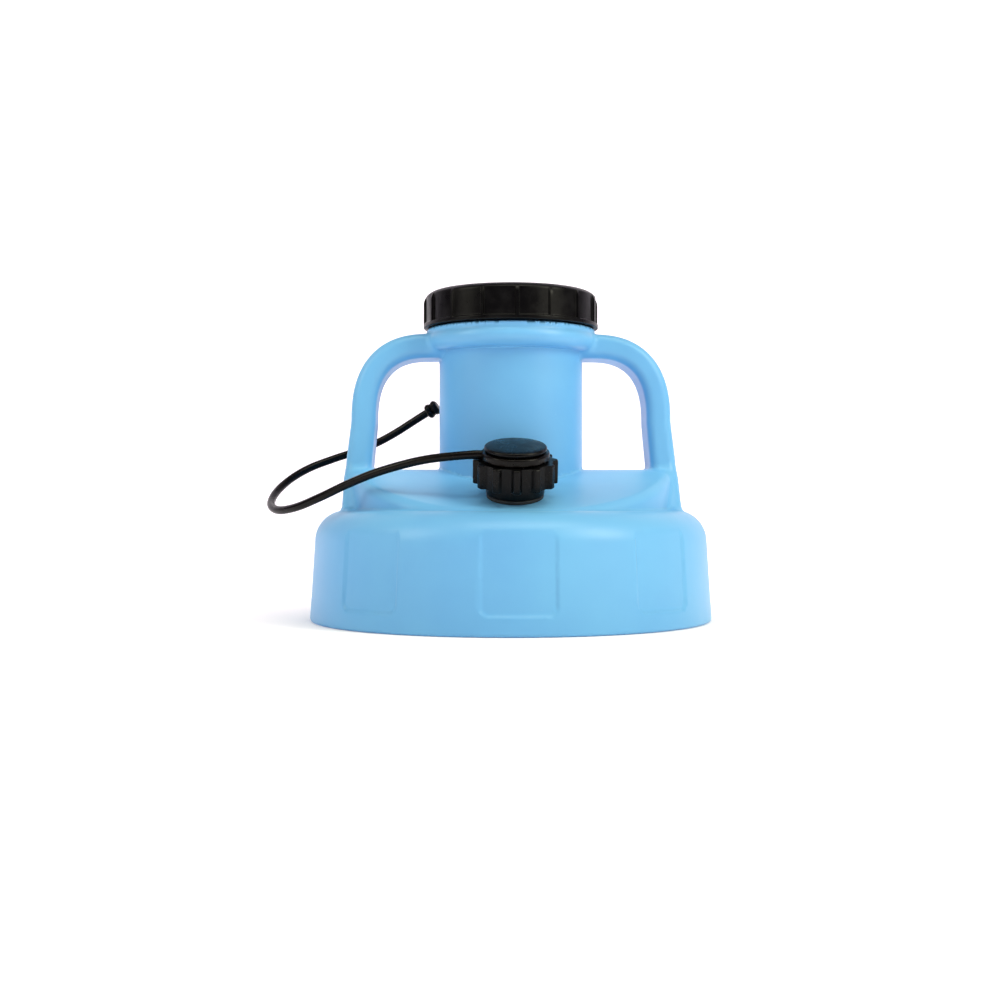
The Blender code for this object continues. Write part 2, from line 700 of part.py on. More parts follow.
nut_middle = -SKIRT_WALL - CLEARANCE - PORT_NUT_THICKNESS / 2
hexagon = [
    (PORT_NUT_FLATS / math.sqrt(3) * math.cos(a), PORT_NUT_FLATS / math.sqrt(3) * math.sin(a))
    for a in (math.radians(60 * i) for i in range(6))
]
nut_mesh = extruded(hexagon, PORT_NUT_THICKNESS, Matrix.Translation((0, 0, nut_middle)))
port_lock_nut = place("port_lock_nut", nut_mesh, parent=port_axis, colour=BLACK, roughness=0.4)
nut_bore = place(
    "nut_bore",
    cylinder(seal_inner, nut_middle - PORT_NUT_THICKNESS, nut_middle + PORT_NUT_THICKNESS, PORT_STEPS),
    parent=port_axis,
)
combine(port_lock_nut, "DIFFERENCE", nut_bore)


# ---------------------------------------------------------------- port cap and its liner


def ribbed_outline():
    """Outline of the port cap's grip, with a rib every 30 degrees."""
    root = math.asin(PORT_CAP_RIB_ROOT / 2 / PORT_CAP_RADIUS)
    crest = math.asin(PORT_CAP_RIB_CREST / 2 / PORT_CAP_RIB_RADIUS)
    step = 2 * math.pi / PORT_CAP_RIBS
    points = []
    for i in range(PORT_CAP_RIBS):
        middle = i * step
        for radius, angle in (
            (PORT_CAP_RADIUS, -root),
            (PORT_CAP_RIB_RADIUS, -crest),
            (PORT_CAP_RIB_RADIUS, crest),
            (PORT_CAP_RADIUS, root),
            (PORT_CAP_RADIUS, step / 2),
        ):
            points.append((radius * math.cos(middle + angle), radius * math.sin(middle + angle)))
    return points


grip_middle = (PORT_CAP_BOTTOM + PORT_CAP_BODY_TOP) / 2
grip_mesh = extruded(
    ribbed_outline(), PORT_CAP_BODY_TOP - PORT_CAP_BOTTOM, Matrix.Translation((0, 0, grip_middle))
)
port_cap = place("port_cap", grip_mesh, parent=port_axis, colour=BLACK, roughness=0.3)
button_top = BUTTON_BOTTOM + BUTTON_THICKNESS
button_edge = BUTTON_THICKNESS / 2
button_profile = [
    (0, button_top + BUTTON_CROWN),
    (BUTTON_RADIUS / 2, button_top + BUTTON_CROWN * 3 / 4),
    *arc((BUTTON_RADIUS - button_edge, button_top - button_edge), button_edge, 90, 0, 3),
    (BUTTON_RADIUS, BUTTON_BOTTOM),
    (BUTTON_STEM_RADIUS, BUTTON_BOTTOM),
    (BUTTON_STEM_RADIUS, PORT_CAP_BODY_TOP - OVERLAP / 2),
    (0, PORT_CAP_BODY_TOP - OVERLAP / 2),
]
button = screw(place("button", turned(button_profile), parent=port_axis), PORT_STEPS)
cap_hollow = place(
    "port_cap_hollow",
    cylinder(PORT_CAP_INNER, PORT_CAP_BOTTOM - OVERLAP, PORT_CAP_CEILING, PORT_STEPS),
    parent=port_axis,
)
port_cap_thread = place(
    "port_cap_thread",
    thread_ridge(
        PORT_CAP_INNER,
        PORT_STUB_RADIUS + PORT_RIDGE_HEIGHT / 3 - PORT_CAP_INNER,
        PORT_PITCH,
        PORT_RIDGE,
        PORT_TURNS,
        PORT_FLANGE_TOP + THREAD_START,
        -0.5,
        PORT_STEPS,
    ),
    parent=port_axis,
)
combine(port_cap, "UNION", button)
combine(port_cap, "DIFFERENCE", cap_hollow)
combine(port_cap, "UNION", port_cap_thread)

port_liner_mesh = cylinder(
    PORT_CAP_INNER - CLEARANCE, PORT_LINER_BOTTOM, PORT_LINER_BOTTOM + PORT_LINER_THICKNESS, PORT_STEPS
)
place("port_cap_liner", port_liner_mesh, parent=port_axis, colour=WHITE, roughness=0.6)


# ---------------------------------------------------------------- tether

ring_top = TETHER_RING_BOTTOM + TETHER_RING_HEIGHT
ring_edge = TETHER_RING_HEIGHT / 4
ring_outer = TETHER_RING_RADIUS - ring_edge
ring_profile = [
    *arc((ring_outer, ring_top - ring_edge), ring_edge, 90, 0, 2),
    *arc((ring_outer, TETHER_RING_BOTTOM + ring_edge), ring_edge, 0, -90, 2),
    (BUTTON_STEM_RADIUS + CLEARANCE, TETHER_RING_BOTTOM),
    (BUTTON_STEM_RADIUS + CLEARANCE, ring_top),
]
tether_ring = place(
    "tether_ring", turned(ring_profile, ring=True), parent=port_axis, colour=BLACK, roughness=0.4
)
screw(tether_ring, PORT_STEPS)


def smooth_route(route, step):
    """Points about a step apart on a smooth curve through the route's points."""
    path = [Vector(p) for p in route]
    path = [path[0] * 2 - path[1], *path, path[-1] * 2 - path[-2]]
    points = [path[1]]
    for a, b, c, d in zip(path, path[1:], path[2:], path[3:]):
        count = max(1, round((c - b).length / step))
        for i in range(1, count + 1):
            t = i / count
            bend = (a * -1 + b * 3 - c * 3 + d) * t**3 + (a * 2 - b * 5 + c * 4 - d) * t**2
            points.append((bend + (c - a) * t + b * 2) / 2)
    return points


bpy.context.view_layer.update()
ring_middle = TETHER_RING_BOTTOM + TETHER_RING_HEIGHT / 2
strap_start = port_axis.matrix_world @ Vector((-TETHER_RING_RADIUS - CLEARANCE, 0, ring_middle))
tip = Vector(TETHER_TIP)
tip_direction = (tip - Vector(TETHER_ROUTE[-1])).normalized()
strap_end = tip - tip_direction * (TETHER_END_LENGTH / 2 + CLEARANCE)

strap_curve = bpy.data.curves.new("tether_strap", "CURVE")
strap_curve.dimensions = "3D"
strap_curve.bevel_depth = TETHER_DIAMETER / 2
strap_curve.bevel_resolution = 2
strap_curve.render_resolution_u = 0
strap_curve.use_fill_caps = True
strap_points = smooth_route([strap_start, *TETHER_ROUTE, strap_end], TETHER_STEP)
strap_spline = strap_curve.splines.new("POLY")
strap_spline.points.add(len(strap_points) - 1)
for spot, where in zip(strap_spline.points, strap_points):
    spot.co = (*where, 1)
tether_strap = place("tether_strap", strap_curve, colour=BLACK, roughness=0.4)

half = TETHER_END_LENGTH / 2
lobe = half / 2
end_profile = [
    (0, half),
    *arc((TETHER_END_RADIUS - lobe, half - lobe), lobe, 90, 0, 3),
    (TETHER_END_RADIUS - TETHER_END_GROOVE, 0),
    *arc((TETHER_END_RADIUS - lobe, lobe - half), lobe, 0, -90, 3),
    (0, -half),
]
tether_end = place("tether_end", turned(end_profile), colour=BLACK, roughness=0.4)
screw(tether_end, 16)
tether_end.location = tip
tether_end.rotation_euler = tip_direction.to_track_quat("Z", "Y").to_euler()

for part in parts.objects:
    if part.type == "MESH":
        part.data.shade_smooth()
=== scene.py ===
import json
import math

import bmesh
import bpy
import numpy as np
from mathutils import Matrix, Vector


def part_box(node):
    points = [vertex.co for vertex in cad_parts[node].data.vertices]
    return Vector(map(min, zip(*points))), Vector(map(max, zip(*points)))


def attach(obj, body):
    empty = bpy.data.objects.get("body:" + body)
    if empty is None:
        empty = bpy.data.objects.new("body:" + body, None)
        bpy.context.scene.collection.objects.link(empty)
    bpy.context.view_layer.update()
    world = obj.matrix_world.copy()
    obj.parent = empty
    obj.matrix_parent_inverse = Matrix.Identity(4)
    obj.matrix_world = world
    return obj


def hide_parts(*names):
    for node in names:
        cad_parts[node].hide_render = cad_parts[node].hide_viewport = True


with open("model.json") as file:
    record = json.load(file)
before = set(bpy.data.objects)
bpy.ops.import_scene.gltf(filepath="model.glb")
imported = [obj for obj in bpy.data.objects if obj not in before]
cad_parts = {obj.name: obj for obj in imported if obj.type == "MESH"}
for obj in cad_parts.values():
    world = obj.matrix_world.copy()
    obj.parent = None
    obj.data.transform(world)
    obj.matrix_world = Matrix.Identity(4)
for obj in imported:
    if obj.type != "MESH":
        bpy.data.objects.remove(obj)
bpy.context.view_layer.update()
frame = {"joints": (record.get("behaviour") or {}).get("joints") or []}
scene = bpy.context.scene


# ================================================================ camera
# The lid stands at eye level: the camera looks straight ahead, a little above the skirt's top edge, and
# sees the lid turned by two degrees. The lens and the small sideways shift set the framing.

EYE_DISTANCE = 0.704
EYE_HEIGHT = 0.0596
EYE_TURN = math.radians(-2.0)

eye = bpy.data.cameras.new("camera")
eye.lens = 50.4
eye.sensor_width = 36
eye.shift_x = -0.0108
eye.clip_start = 0.01
camera = bpy.data.objects.new("camera", eye)
camera.location = (EYE_DISTANCE * math.sin(EYE_TURN), -EYE_DISTANCE * math.cos(EYE_TURN), EYE_HEIGHT)
camera.rotation_euler = (math.pi / 2, 0, EYE_TURN)
scene.collection.objects.link(camera)
scene.camera = camera


# ================================================================ tether strap
# A round strap of flexible polyethylene, moulded in one with the ring that holds it under the port cap's
# button. It springs out to the left, bends round the left handle and ends free in its barbed tip.

STRAP_DIAMETER = 0.0040
STRAP_ROUTE = (
    (-0.0220, -0.0622, 0.0802),
    (-0.0420, -0.0578, 0.0781),
    (-0.0622, -0.0499, 0.0731),
    (-0.0780, -0.0423, 0.0672),
    (-0.0918, -0.0348, 0.0610),
    (-0.1042, -0.0250, 0.0562),
    (-0.1145, -0.0125, 0.0546),
    (-0.1200, 0.0010, 0.0573),
    (-0.1194, 0.0142, 0.0632),
    (-0.1135, 0.0262, 0.0703),
    (-0.1045, 0.0354, 0.0764),
    (-0.0935, 0.0410, 0.0810),
    (-0.0838, 0.0430, 0.0844),
    (-0.0723, 0.0426, 0.0887),
    (-0.0610, 0.0402, 0.0944),
    (-0.0479, 0.0357, 0.1024),
)
STRAP_TIP = Vector((-0.0400, 0.0334, 0.1072))
TIP_LENGTH = 0.0070
RING_RADIUS = 0.0157

# The port stands square on the front slope, and everything on it is placed along this axis.
joint = {j["name"]: j for j in frame["joints"]}
port_foot = Vector(joint["port_cap_turn"]["pos_m"])
port_up = Vector(joint["port_cap_turn"]["axis"]).normalized()
PORT = Matrix.Translation(port_foot) @ Matrix.Rotation(math.atan2(-port_up.y, port_up.z), 4, "X")
RING_MIDDLE = 0.02015


class Value:
    """A socket in a material's node tree. Sums and products of values add Math nodes."""

    def __init__(self, tree, socket):
        self.tree = tree
        self.socket = socket

    def node(self, kind, settings=None, sockets=None, output=0):
        """Adds a node: first its settings, then the values or links of its sockets."""
        node = self.tree.nodes.new(kind)
        for name, value in (settings or {}).items():
            setattr(node, name, value)
        for name, value in (sockets or {}).items():
            if isinstance(value, Value):
                self.tree.links.new(value.socket, node.inputs[name])
            else:
                node.inputs[name].default_value = value
        return Value(self.tree, node.outputs[output])

    def maths(self, operation, a, b):
        return self.node("ShaderNodeMath", {"operation": operation}, {0: a, 1: b})

    def __add__(self, other):
        return self.maths("ADD", self, other)

    def __mul__(self, other):
        return self.maths("MULTIPLY", self, other)

    def noise(self, scale, detail=2.0, rough=0.5):
        """A noise over this vector."""
        sockets = {"Vector": self, "Scale": scale, "Detail": detail, "Roughness": rough}
        return self.node("ShaderNodeTexNoise", None, sockets)

    def step(self, low, high):
        """0 below low, 1 above high, and a smooth rise between."""
        settings = {"interpolation_type": "SMOOTHSTEP"}
        return self.node("ShaderNodeMapRange", settings, {0: self, 1: low, 2: high})

    def mix(self, a, b):
        """The colour a where this value is 0, and b where it is 1."""
        a, b = ((*c, 1) if isinstance(c, tuple) else c for c in (a, b))
        return self.node("ShaderNodeMix", {"data_type": "RGBA"}, {0: self, 6: a, 7: b}, 2)

    def bump(self, strength, distance, below=None):
        """This value as relief, over the relief below it."""
        sockets = {"Strength": strength, "Distance": distance, "Height": self}
        if below is not None:
            sockets["Normal"] = below
        return self.node("ShaderNodeBump", None, sockets)


def finish(name, colour, roughness, shine=0.5):
    """A material with its plain values set. Gives it, its shader, and the place on the object."""
    material = bpy.data.materials.new(name)
    material.use_nodes = True
    tree = material.node_tree
    shader = tree.nodes["Principled BSDF"]
    shader.inputs["Base Color"].default_value = (*colour, 1)
    shader.inputs["Roughness"].default_value = roughness
    shader.inputs["Specular IOR Level"].default_value = shine
    where = tree.nodes.new("ShaderNodeTexCoord")
    return material, shader, Value(tree, where.outputs["Object"])


def connect(shader, **sockets):
    """Links values to the shader's sockets."""
    for name, value in sockets.items():
        shader.id_data.links.new(value.socket, shader.inputs[name.replace("_", " ")])


def strap_plastic():
    """Black flexible plastic, satin, with a little dust and faint rub marks. Its brownish tint is a painted
    warm reflection.
    """
    # The black is the strap's own colour. The brownish tint in it, and in both colours of the mix below, is
    # a painted warm reflection.
    material, shader, place = finish("tether_plastic", (0.010, 0.008, 0.007), 0.30, shine=0.14)
    rub = place.noise(55, 4, 0.6).step(0.45, 0.75)
    dust = place.noise(900, 2, 0.6).step(0.62, 0.8)
    # Rub marks and dust lighten the tone at random. Both ends of this mix keep the painted brownish
    # reflection tint.
    colour = (rub * 0.25 + dust * 0.15).mix((0.0012, 0.0008, 0.0006), (0.020, 0.013, 0.009))
    grain = place.noise(2600, 2).bump(0.12, 0.00005)
    relief = place.noise(240, 2).bump(0.15, 0.0002, grain)
    connect(shader, Base_Color=colour, Roughness=rub * 0.14 + 0.26 + dust * 0.1, Normal=relief)
    return material


tether_material = strap_plastic()


def smooth_route(route, step):
    """Points about a step apart on a smooth curve through the route's points."""
    path = [Vector(p) for p in route]
    path = [path[0] * 2 - path[1], *path, path[-1] * 2 - path[-2]]
    points = [path[1]]
    for a, b, c, d in zip(path, path[1:], path[2:], path[3:]):
        count = max(1, round((c - b).length / step))
        for i in range(1, count + 1):
            t = i / count
            bend = (a * -1 + b * 3 - c * 3 + d) * t**3 + (a * 2 - b * 5 + c * 4 - d) * t**2
            points.append((bend + (c - a) * t + b * 2) / 2)
    return points


strap_start = PORT @ Vector((-RING_RADIUS + 0.0008, 0, RING_MIDDLE))
tip_direction = (STRAP_TIP - Vector(STRAP_ROUTE[-1])).normalized()
strap_end = STRAP_TIP - tip_direction * (TIP_LENGTH / 2 - 0.0006)
strap_curve = bpy.data.curves.new("strap", "CURVE")
strap_curve.dimensions = "3D"
strap_curve.bevel_depth = STRAP_DIAMETER / 2
strap_curve.bevel_resolution = 7
strap_curve.use_fill_caps = True
strap_line = smooth_route([strap_start, *STRAP_ROUTE, strap_end], 0.0022)
strap_spline = strap_curve.splines.new("POLY")
strap_spline.points.add(len(strap_line) - 1)
for spot, where in zip(strap_spline.points, strap_line):
    spot.co = (*where, 1)
    near = 1 - (where - strap_start).length / 0.010
    spot.radius = 1 + 0.12 * max(0, near) ** 2
strap_spline.use_smooth = True
strap_curve.materials.append(tether_material)
strap = bpy.data.objects.new("strap", strap_curve)
scene.collection.objects.link(strap)
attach(strap, "tether")
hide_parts("tether_strap")


# ================================================================ barbed tip and ring of the tether
# Both are moulded with the strap. The tip is two rounded discs with a thin groove between them, to be
# pushed through an eye; the ring is a flat band with soft edges that turns freely under the button.

TIP_RADIUS = 0.0039
RING_BOTTOM = 0.0183
RING_HEIGHT = 0.0037
RING_BORE = 0.0128


def arc(middle, radius, start, end, steps=6):
    """Points (radius, height) along an arc, from one angle to another in degrees."""
    angles = [math.radians(start + (end - start) * i / steps) for i in range(steps + 1)]
    return [(middle[0] + radius * math.cos(a), middle[1] + radius * math.sin(a)) for a in angles]


def turned(name, profile, steps, material, place=None, ring=False):
    """A piece turned from (radius, height) points that run down its outer side, put where place says."""
    mesh = bpy.data.meshes.new(name)
    count = len(profile)
    edges = [(i, i + 1) for i in range(count - 1)] + [(count - 1, 0)] * ring
    mesh.from_pydata([(r, 0, z) for r, z in profile], edges, [])
    piece = bpy.data.objects.new(name, mesh)
    scene.collection.objects.link(piece)
    turn = piece.modifiers.new("turn", "SCREW")
    turn.steps = turn.render_steps = steps
    turn.use_merge_vertices = True
    turn.merge_threshold = 0.000001
    turn.use_smooth_shade = True
    return settle(piece, material, place)


def settle(piece, material, place=None, sharp=40):
    """Applies the piece's modifiers, puts its place in its mesh and shades it smooth."""
    bpy.context.view_layer.update()
    made = bpy.data.meshes.new_from_object(piece.evaluated_get(bpy.context.evaluated_depsgraph_get()))
    made.name = piece.name
    piece.modifiers.clear()
    piece.data = made
    if place is not None:
        made.transform(place)
    made.materials.clear()
    made.materials.append(material)
    made.shade_smooth()
    if sharp:
        made.set_sharp_from_angle(angle=math.radians(sharp))
    return piece


lobe = TIP_LENGTH / 4
tip = turned(
    "tether_tip",
    [
        (0, TIP_LENGTH / 2),
        *arc((TIP_RADIUS - lobe, TIP_LENGTH / 2 - lobe), lobe, 90, -70, 12),
        (TIP_RADIUS - 0.0006, 0.0001),
        (TIP_RADIUS - 0.0006, -0.0001),
        *arc((TIP_RADIUS - lobe, lobe - TIP_LENGTH / 2), lobe, 70, -90, 12),
        (0, -TIP_LENGTH / 2),
    ],
    40,
    tether_material,
    Matrix.Translation(STRAP_TIP) @ tip_direction.to_track_quat("Z", "Y").to_matrix().to_4x4(),
)
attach(tip, "tether")
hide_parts("tether_end")

soft = 0.0008
ring_top = RING_BOTTOM + RING_HEIGHT
ring = turned(
    "tether_ring_band",
    [
        *arc((RING_RADIUS - soft, ring_top - soft), soft, 90, 0),
        *arc((RING_RADIUS - soft, RING_BOTTOM + soft), soft, 0, -90),
        *arc((RING_BORE + soft / 2, RING_BOTTOM + soft / 2), soft / 2, 270, 180, 3),
        *arc((RING_BORE + soft / 2, ring_top - soft / 2), soft / 2, 180, 90, 3),
    ],
    96,
    tether_material,
    PORT,
    ring=True,
)
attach(ring, "tether")
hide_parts("tether_ring")


# ================================================================ lid moulding
# The skirt, the sloping shoulder, the neck with its collar and both handles are one moulding in light blue
# polyethylene. Every inner corner has a fillet and every edge is round, as the mould leaves them.

skirt_low, skirt_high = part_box("lid_skirt")
neck_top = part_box("lid_neck")[1][2]
SKIRT_RADIUS = skirt_high[0]
SKIRT_HEIGHT = 0.0545
SKIRT_WALL = 0.0034
SKIRT_SLANT = 0.0026 / 0.0405
SKIRT_FILLET = 0.0140
RIM_FILLET = 0.0016
PANEL_HALF = 0.01785
PANEL_BOTTOM = 0.0085
PANEL_CORNER = 0.0048
PANEL_DEPTH = 0.0010
PANEL_SOFT = 0.0005
PANEL_ANGLE = math.radians(43)
SHOULDER_RADIUS = 0.0800
RIDGE_TOP = 0.0747
RIDGE_HALF = 0.0140
ROOF_ANGLE = math.atan2(-port_up.y, port_up.z)
NECK_RADIUS = 0.0350
NECK_BORE = 0.0310
NECK_FINISH = 0.0358
COLLAR_ROUND = 0.0052
COLLAR_MIDDLE = (0.0377, 0.1383)
FLANGE_TOP = 0.1450
FLANGE_RADIUS = 0.0431
FLANGE_FOOT = 0.0412
FLANGE_HEIGHT = 0.0024
ARCH_MIDDLE = (0.0400, 0.0980)
ARCH_REACH = 0.0331
ARCH_RISE = 0.03785
ARCH_POWER = 2.55
LEG_FOOT = (0.0761, 0.0700)
BAR_HALF = 0.00605
FOOT_HALF = 0.0065
HANDLE_HALF = 0.0140
HANDLE_ROUND = 0.0042
FLARE = 0.0140
FLARE_START = RIDGE_TOP + 0.0030
FLARE_BEND = 1.3
FLARE_LEAN = 0.7
PORT_HOLE = 0.0103
PORT_HOLE_REACH = 0.0080
# Roundings: of the roof's ridge and its outer edge, in the corners under the roof, the neck and the flange,
# where the handles leave the collar, on the neck's lip and on the edges inside.
RIDGE_EDGE = 0.0015
SHOULDER_EDGE = 0.0040
ROOF_FILLET = 0.0018
FOOT_FILLET = 0.0024
FLANGE_FILLET = 0.0016
FLANGE_EDGE = 0.0004
ARM_FILLET = 0.0030
NECK_EDGE = 0.0010
INNER_EDGE = 0.0006
# The size of the net's cells, and how far under the flange's top the neck's wall ends.
CELL = 0.00152
LIP_DEPTH = 0.001


def join(a, b, radius):
    """Distance to two shapes together, with a fillet in the corner between them."""
    u, v = np.maximum(radius - a, 0), np.maximum(radius - b, 0)
    return np.maximum(radius, np.minimum(a, b)) - np.hypot(u, v)


def cut(a, b, radius):
    """Distance to what both shapes hold, with the edge between them rounded."""
    u, v = np.maximum(radius + a, 0), np.maximum(radius + b, 0)
    return np.minimum(-radius, np.maximum(a, b)) + np.hypot(u, v)


def handle_line():
    """The middle of the handle from the neck over the arch to its foot: (x, z) and half its thickness."""
    line = [(NECK_BORE + 0.001, ARCH_MIDDLE[1] + ARCH_RISE, BAR_HALF)]
    for i in range(31):
        a = math.radians(90 - 3 * i)
        x = ARCH_REACH * max(0, math.cos(a)) ** (2 / ARCH_POWER)
        z = ARCH_RISE * max(0, math.sin(a)) ** (2 / ARCH_POWER)
        line.append((ARCH_MIDDLE[0] + x, ARCH_MIDDLE[1] + z, BAR_HALF))
    line.append((*LEG_FOOT, FOOT_HALF))
    line.append((LEG_FOOT[0] + 0.0002, SKIRT_HEIGHT - 0.001, FOOT_HALF))
    return np.array(line)


def handle(x, y, z):
    """Distance to the handle: a band of even thickness with round edges. Its foot flares to the front and
    the back."""
    line = handle_line()
    band = np.full(x.shape, 1.0)
    for (ax, az, ah), (bx, bz, bh) in zip(line, line[1:]):
        dx, dz = bx - ax, bz - az
        t = np.clip(((x - ax) * dx + (z - az) * dz) / (dx * dx + dz * dz), 0, 1)
        away = np.hypot(x - ax - t * dx, z - az - t * dz) - ah - (bh - ah) * t
        band = np.minimum(band, away)
    down = np.clip((FLARE_START - z) / (FLARE_START - SKIRT_HEIGHT), 0, 1)
    side = (y - HANDLE_HALF - FLARE * down**FLARE_BEND) / np.hypot(1, FLARE_LEAN * (down > 0))
    return cut(band, side, HANDLE_ROUND)


def lid(x, y, z):
    """Distance to the lid's surface, below 0 inside the plastic. It is alike on all four sides."""
    front = y
    x, y = np.abs(x), np.abs(y)
    r = np.hypot(x, y)
    side = (r - SKIRT_RADIUS + z * SKIRT_SLANT) / math.hypot(1, SKIRT_SLANT)
    body = cut(cut(side, z - SKIRT_HEIGHT, SKIRT_FILLET), -z, RIM_FILLET)

    turn = np.arctan2(x, y)
    across = SKIRT_RADIUS * np.minimum(turn, np.abs(turn - PANEL_ANGLE)) - PANEL_HALF + PANEL_CORNER
    under = PANEL_BOTTOM + PANEL_CORNER - z
    edge = np.hypot(np.maximum(across, 0), np.maximum(under, 0)) - PANEL_CORNER
    edge += np.minimum(np.maximum(across, under), 0)
    body = cut(body, -cut(-side - PANEL_DEPTH, (edge - side) / 1.41, PANEL_SOFT), PANEL_SOFT)

    slope = (y - RIDGE_HALF) * math.sin(ROOF_ANGLE) + (z - RIDGE_TOP) * math.cos(ROOF_ANGLE)
    roof = cut(cut(slope, z - RIDGE_TOP, RIDGE_EDGE), r - SHOULDER_RADIUS, SHOULDER_EDGE)
    body = join(body, roof, ROOF_FILLET)

    neck = np.maximum(r - NECK_RADIUS, z - FLANGE_TOP + LIP_DEPTH)
    body = join(body, neck, FOOT_FILLET)
    near = (y < HANDLE_HALF + FLARE + 0.012) & (x > NECK_BORE - 0.002) & (z > SKIRT_HEIGHT - 0.008)
    grip = handle(x[near], y[near], z[near])
    body[near] = join(body[near], grip, np.where(z[near] > 0.1, ARM_FILLET, FOOT_FILLET))

    collar = np.hypot(r - COLLAR_MIDDLE[0], z - COLLAR_MIDDLE[1]) - COLLAR_ROUND
    body = join(body, collar, FOOT_FILLET)
    spread = (FLANGE_RADIUS - FLANGE_FOOT) / FLANGE_HEIGHT
    cone = (r - FLANGE_RADIUS + (FLANGE_TOP - z) * spread) / math.hypot(1, spread)
    flange = np.maximum(cut(cone, z - FLANGE_TOP, FLANGE_EDGE), FLANGE_TOP - FLANGE_HEIGHT - z)
    body = join(body, flange, FLANGE_FILLET)
    body = np.minimum(body, cut(r - NECK_FINISH, z - neck_top, NECK_EDGE))

    inner = cut(side + SKIRT_WALL, z - SKIRT_HEIGHT + SKIRT_WALL, SKIRT_FILLET - SKIRT_WALL)
    attic = roof + SKIRT_WALL
    bore = np.maximum(r - NECK_BORE, SKIRT_HEIGHT - z)
    off = np.stack([x, front - port_foot.y, z - port_foot.z])
    along = off[1] * port_up.y + off[2] * port_up.z
    aside = np.hypot(off[0], off[1] * port_up.z - off[2] * port_up.y)
    hole = np.maximum(aside - PORT_HOLE, np.abs(along) - PORT_HOLE_REACH)
    hollow = np.minimum(np.minimum(inner, attic), np.minimum(bore, hole))
    return cut(body, -hollow, INNER_EDGE)


def surface(distance, low, high, cell):
    """A net of four-sided faces over the place where the distance is 0, drawn onto it exactly."""
    ticks = [np.arange(a - 2.5 * cell, b + 2.5 * cell, cell) for a, b in zip(low, high)]
    shape = tuple(len(t) for t in ticks)
    field = np.empty(shape)
    for i, at in enumerate(ticks[0]):
        y, z = np.meshgrid(ticks[1], ticks[2], indexing="ij")
        field[i] = distance(np.full(y.size, at), y.ravel(), z.ravel()).reshape(y.shape)
    inside = field < 0
    corners = [(i, j, k) for i in (0, 1) for j in (0, 1) for k in (0, 1)]
    size = [n - 1 for n in shape]

    def at_corner(grid, corner):
        return grid[tuple(slice(c, c + n) for c, n in zip(corner, size))]

    held = sum(at_corner(inside, c).astype(int) for c in corners)
    active = (held > 0) & (held < 8)
    cells = np.argwhere(active)
    number = np.full(size, -1)
    number[active] = np.arange(len(cells))

    total, crossings = np.zeros((len(cells), 3)), np.zeros(len(cells))
    for axis in range(3):
        for corner in (c for c in corners if c[axis] == 0):
            end = tuple(int(c or k == axis) for k, c in enumerate(corner))
            a, b = at_corner(field, corner)[active], at_corner(field, end)[active]
            crossed = (a < 0) != (b < 0)
            share = a[crossed] / (a[crossed] - b[crossed])
            total[crossed] += corner
            total[crossed, axis] += share
            crossings += crossed
    place = cells + total / crossings[:, None]
    points = np.stack([ticks[k][0] + place[:, k] * cell for k in range(3)], 1)

    faces = []
    for axis in range(3):
        j, k = (axis + 1) % 3, (axis + 2) % 3
        first = np.take(inside, range(size[axis]), axis)
        last = np.take(inside, range(1, shape[axis]), axis)
        for outward in (True, False):
            edges = np.argwhere((first & ~last) if outward else (~first & last))
            ring = []
            for dj, dk in ((1, 1), (0, 1), (0, 0), (1, 0)):
                around = edges.copy()
                around[:, j] -= dj
                around[:, k] -= dk
                ring.append(number[tuple(around.T)])
            faces.append(np.stack(ring if outward else ring[::-1], 1))
    faces = np.concatenate(faces)

    normals = np.zeros_like(points)
    for _ in range(4):
        gap = distance(*points.T)
        for k in range(3):
            nudge = np.zeros(3)
            nudge[k] = 0.00002
            normals[:, k] = distance(*(points + nudge).T) - distance(*(points - nudge).T)
        normals /= np.maximum(np.linalg.norm(normals, axis=1), 1e-12)[:, None]
        points -= normals * np.clip(gap, -cell / 2, cell / 2)[:, None]
    return points, faces, normals


def blue_polyethylene():
    """Light blue, slightly waxy, with faint mottling, a fine skin and a few light scuffs."""
    material, shader, place = finish("blue_polyethylene", (0.17, 0.46, 0.78), 0.38, shine=0.35)
    cloud = place.noise(14, 4, 0.55)
    speck = place.noise(1500, 2, 0.6)
    colour = cloud.step(0.3, 0.7).mix((0.140, 0.415, 0.740), (0.160, 0.465, 0.770))
    stretched = place.node("ShaderNodeMapping", None, {"Vector": place, "Scale": (1.0, 1.0, 9.0)})
    scuff = stretched.noise(260, 5, 0.75).step(0.64, 0.76) * place.noise(32, 3).step(0.52, 0.66)
    colour = (scuff * 0.35).mix(colour, (0.62, 0.80, 0.90))
    skin = speck.bump(0.10, 0.00006)
    relief = place.noise(75, 3, 0.5).bump(0.10, 0.0006, skin)
    rough = place.noise(45, 4, 0.6) * 0.16 + 0.30 + scuff * 0.15
    connect(shader, Base_Color=colour, Roughness=rough, Normal=relief)
    return material


blue = blue_polyethylene()
points, faces, normals = surface(lid, skirt_low, (*skirt_high[:2], neck_top), CELL)
lid_mesh = bpy.data.meshes.new("lid_moulding")
lid_mesh.from_pydata(points.tolist(), [], faces.tolist())
lid_mesh.materials.append(blue)
lid_mesh.shade_smooth()
lid_mesh.normals_split_custom_set_from_vertices(normals.tolist())
moulding = bpy.data.objects.new("lid_moulding", lid_mesh)
scene.collection.objects.link(moulding)
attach(moulding, "lid")
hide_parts("lid_skirt", "lid_neck", "right_handle", "left_handle")


# ================================================================ large cap
# A black polypropylene screw cap. Sixteen narrow ribs stand between flat panels on its side, and its top
# edge is well rounded.

cap_low, cap_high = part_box("main_cap")
CAP_RADIUS = 0.0437
CAP_FILLET = 0.0060
CAP_RECESS = 0.0012
CAP_BAND = 0.0022
CAP_RIBS = 16
CAP_TURN = math.radians(2)
RIB_HALF = 0.0007
CAP_INNER = 0.0392
CAP_CEILING = 0.1602


